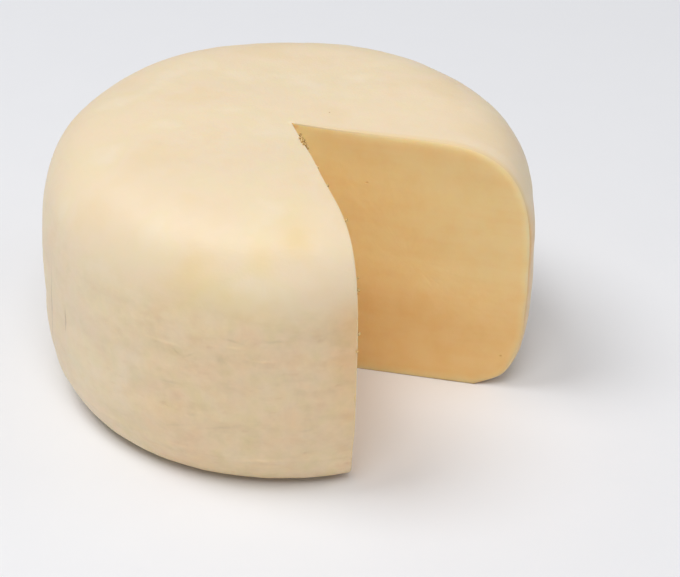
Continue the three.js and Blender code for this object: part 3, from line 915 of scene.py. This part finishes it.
# The crumbs: bits of paste that the knife tore loose, still stuck to the left cut just under its edges.
# They are of the same cheese, drawn darker in patches as painted shade, and thickest a little out from
# where the cuts meet.
# Small uneven balls are scattered on the left cut face, partly sunk in it.
# Paste colour, and a dark brown painted in patches as the shade between the crumbs.
CRUMB_SHADED_COLOURS = ("AD8240", "EBCB8C")
CRUMB_GRAIN = 0.9 * MM
CRUMB_NOISE = (0.42, 0.58)
CRUMB_RELIEF = 0.3 * MM
CRUMB_ROUGHNESS = 0.7
CRUMBLE = 1.2 * MM

shaded_crumb, tree, spot = new_material("crumbs of paste with painted shade")
specks = add_node(tree, NOISE, {"Vector": spot, "Scale": 1 / CRUMB_GRAIN, "Detail": 2.0})
crumb_shade_share = add_node(tree, MAP_RANGE, [specks, *CRUMB_NOISE, 0.0, 1.0])
colour = add_node(
    tree,
    "ShaderNodeMix",
    {"Factor": crumb_shade_share, "A": linear(CRUMB_SHADED_COLOURS[0]), "B": linear(CRUMB_SHADED_COLOURS[1])},
    data_type="RGBA",
)
bump = add_node(tree, "ShaderNodeBump", {"Strength": 1.0, "Distance": CRUMB_RELIEF, "Height": specks})
surface = add_node(
    tree,
    "ShaderNodeBsdfPrincipled",
    {"Base Color": colour, "Roughness": CRUMB_ROUGHNESS, "Normal": bump},
)
add_node(tree, "ShaderNodeOutputMaterial", [surface])

CRUMB_VALUES = {
    "Wheel": wheel,
    "Thickest at": APEX + LEFT_RUN * 21 * MM + Vector((0, 0, 150 * MM)),
    "Thick within": 11 * MM,
    "Most per square metre": 900000.0,
    "Least per square metre": 14000.0,
    "Edge width": 2.6 * MM,
    "Lowest level": 60 * MM,
    "Stand out": 0.8 * MM,
    "Smallest": Vector((0.4, 0.4, 0.3)) * MM,
    "Largest": Vector((1.7, 1.4, 1.1)) * MM,
    "Roughness": 0.9 * MM,
    "Seed": 4,
    "Shaded crumb": shaded_crumb,
}
CRUMB_KINDS = {float: "NodeSocketFloat", int: "NodeSocketInt", Vector: "NodeSocketVector"}
HALF_WAY_ROUND = pi * GIRTH_RADIUS
scatter, given = new_tree(
    "crumbs on the cut",
    {
        name: CRUMB_KINDS.get(type(value), f"NodeSocket{type(value).__name__}")
        for name, value in CRUMB_VALUES.items()
    },
)

# Where they stick: high up along the left cut's edge, and most of all round the thickest place.
cheese = add_node(scatter, "GeometryNodeObjectInfo", {"Object": given["Wheel"]}).outputs["Geometry"]
position = add_node(scatter, "GeometryNodeInputPosition")
away = add_node(scatter, VECTOR_MATH, [position, given["Thickest at"]], operation="DISTANCE")
per_area = add_node(
    scatter,
    MAP_RANGE,
    [away, 0.0, given["Thick within"], given["Most per square metre"], given["Least per square metre"]],
    **EASE_IN_OUT,
)
buried = add_node(scatter, "GeometryNodeInputNamedAttribute", {"Name": "rind_depth"}, data_type="FLOAT")
at_edge = add_node(scatter, MATH, [buried, given["Edge width"]], operation="LESS_THAN")
flat_map = add_node(
    scatter, "GeometryNodeInputNamedAttribute", {"Name": "rolled_out"}, data_type="FLOAT_VECTOR"
)
run, _, level = add_node(scatter, "ShaderNodeSeparateXYZ", [flat_map]).outputs
high_up = add_node(scatter, MATH, [level, given["Lowest level"]], operation="GREATER_THAN")
high_edge = add_node(scatter, MATH, [at_edge, high_up], operation="MULTIPLY")
on_left = add_node(scatter, MATH, [run, HALF_WAY_ROUND], operation="GREATER_THAN")
on_cut = add_node(scatter, "GeometryNodeInputNamedAttribute", {"Name": "cut"}, data_type="FLOAT")
on_left_cut = add_node(scatter, MATH, [on_left, on_cut], operation="MULTIPLY")
on_edge = add_node(scatter, MATH, [on_left_cut, high_edge], operation="MULTIPLY")
density = add_node(scatter, MATH, [on_edge, per_area], operation="MULTIPLY")
points = add_node(
    scatter,
    "GeometryNodeDistributePointsOnFaces",
    {"Mesh": cheese, "Density": density, "Seed": given["Seed"]},
    distribute_method="RANDOM",
)
out = add_node(
    scatter,
    VECTOR_MATH,
    {"Vector": points.outputs["Normal"], "Scale": given["Stand out"]},
    operation="SCALE",
)
stuck = add_node(
    scatter, "GeometryNodeSetPosition", {"Geometry": points.outputs["Points"], "Offset": out}
)

# Each is a small ball with uneven sides, turned and sized at random.
turns = add_node(
    scatter,
    "FunctionNodeRandomValue",
    {"Max": (2 * pi, 2 * pi, 2 * pi), "Seed": given["Seed"]},
    data_type="FLOAT_VECTOR",
)
rotation = add_node(scatter, "FunctionNodeEulerToRotation", [turns])
size = add_node(
    scatter,
    "FunctionNodeRandomValue",
    {"Min": given["Smallest"], "Max": given["Largest"], "Seed": given["Seed"]},
    data_type="FLOAT_VECTOR",
)
ball = add_node(scatter, "GeometryNodeMeshIcoSphere", {"Radius": 1.0, "Subdivisions": 2})
strewn = add_node(
    scatter,
    "GeometryNodeInstanceOnPoints",
    {"Points": stuck, "Instance": ball, "Rotation": rotation, "Scale": size},
)
real = add_node(scatter, "GeometryNodeRealizeInstances", [strewn])
crumble = add_node(scatter, NOISE, {"Vector": position, "Scale": 1 / CRUMBLE, "Detail": 2.0})
swing = add_node(scatter, VECTOR_MATH, [crumble.outputs["Color"], MEAN_NOISE], operation="SUBTRACT")
push = add_node(scatter, VECTOR_MATH, {"Vector": swing, "Scale": given["Roughness"]}, operation="SCALE")
shaped = add_node(scatter, "GeometryNodeSetPosition", {"Geometry": real, "Offset": push})
smooth = add_node(scatter, "GeometryNodeSetShadeSmooth", [shaped, True, True], domain="FACE")
finished = add_node(scatter, "GeometryNodeSetMaterial", {"Geometry": smooth, "Material": given["Shaded crumb"]})
add_node(scatter, "NodeGroupOutput", [finished])

crumbs = grow("cheddar_crumbs", scatter, CRUMB_VALUES)
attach(crumbs, "root")


# The floor: a plain sheet of pale matt paper, far wider than the view. The wheel stands on it by its
# flat underside.
FLOOR_HALF = 6.0
PAPER_COLOURS = ("EDEEF1", "EFF0F3")
PAPER_ROUGHNESS = 0.7
FIBRE = 40 * MM

floor_mesh = bpy.data.meshes.new("floor")
corners = [(x * FLOOR_HALF, y * FLOOR_HALF, 0) for x, y in ((-1, -1), (1, -1), (1, 1), (-1, 1))]
floor_mesh.from_pydata(corners, [], [(0, 1, 2, 3)])
floor = bpy.data.objects.new("floor", floor_mesh)
bpy.context.scene.collection.objects.link(floor)
paper, tree, spot = new_material("pale matt paper")
fibres = add_node(tree, NOISE, {"Vector": spot, "Scale": 1 / FIBRE, "Detail": 3.0})
colour = add_node(
    tree,
    "ShaderNodeMix",
    {"Factor": fibres, "A": linear(PAPER_COLOURS[0]), "B": linear(PAPER_COLOURS[1])},
    data_type="RGBA",
)
surface = add_node(
    tree, "ShaderNodeBsdfPrincipled", {"Base Color": colour, "Roughness": PAPER_ROUGHNESS}
)
add_node(tree, "ShaderNodeOutputMaterial", [surface])
floor_mesh.materials.append(paper)


# The light: two large soft lamps above, one in front and one on the left, a weak one on the right, and
# a pale room. Each lamp has a place and a width in metres and a power in watts, and faces the target.
LAMPS = (
    ("front", (0, -1.75, 3.6), 2.1, 61.0),
    ("left", (-1.75, 0, 3.6), 2.1, 65.0),
    ("right", (3.2, 0, 2.35), 2.1, 12.5),
)
TARGET = Vector((0, 0, 0.07))
ROOM_COLOUR = "F2F2F5"
ROOM_STRENGTH = 0.3

for name, place, width, power in LAMPS:
    lamp = bpy.data.lights.new(name, "AREA")
    lamp.shape = "DISK"
    lamp.size = width
    lamp.energy = power
    holder = bpy.data.objects.new(name, lamp)
    holder.location = place
    holder.rotation_euler = (TARGET - Vector(place)).to_track_quat("-Z", "Y").to_euler()
    bpy.context.scene.collection.objects.link(holder)
world = bpy.data.worlds.new("pale room")
world.use_nodes = True
world.node_tree.nodes["Background"].inputs["Color"].default_value = linear(ROOM_COLOUR)
world.node_tree.nodes["Background"].inputs["Strength"].default_value = ROOM_STRENGTH
bpy.context.scene.world = world
bpy.context.scene.view_settings.view_transform = "Standard"


# The camera: where the photograph was taken from, a little to the right, looking down.
CAMERA_PLACE = (28.37 * MM, -954.8 * MM, 639.6 * MM)
CAMERA_DOWN = radians(31.95)
CAMERA_ROLL = radians(1.076)
LENS = 106.34
SENSOR_WIDTH = 36.0

camera_data = bpy.data.cameras.new("camera")
camera_data.sensor_fit = "HORIZONTAL"
camera_data.sensor_width = SENSOR_WIDTH
camera_data.lens = LENS
camera = bpy.data.objects.new("camera", camera_data)
camera.location = CAMERA_PLACE
tilt = Matrix.Rotation(pi / 2 - CAMERA_DOWN, 3, "X") @ Matrix.Rotation(CAMERA_ROLL, 3, "Z")
camera.rotation_euler = tilt.to_euler()
bpy.context.scene.collection.objects.link(camera)
bpy.context.scene.camera = camera
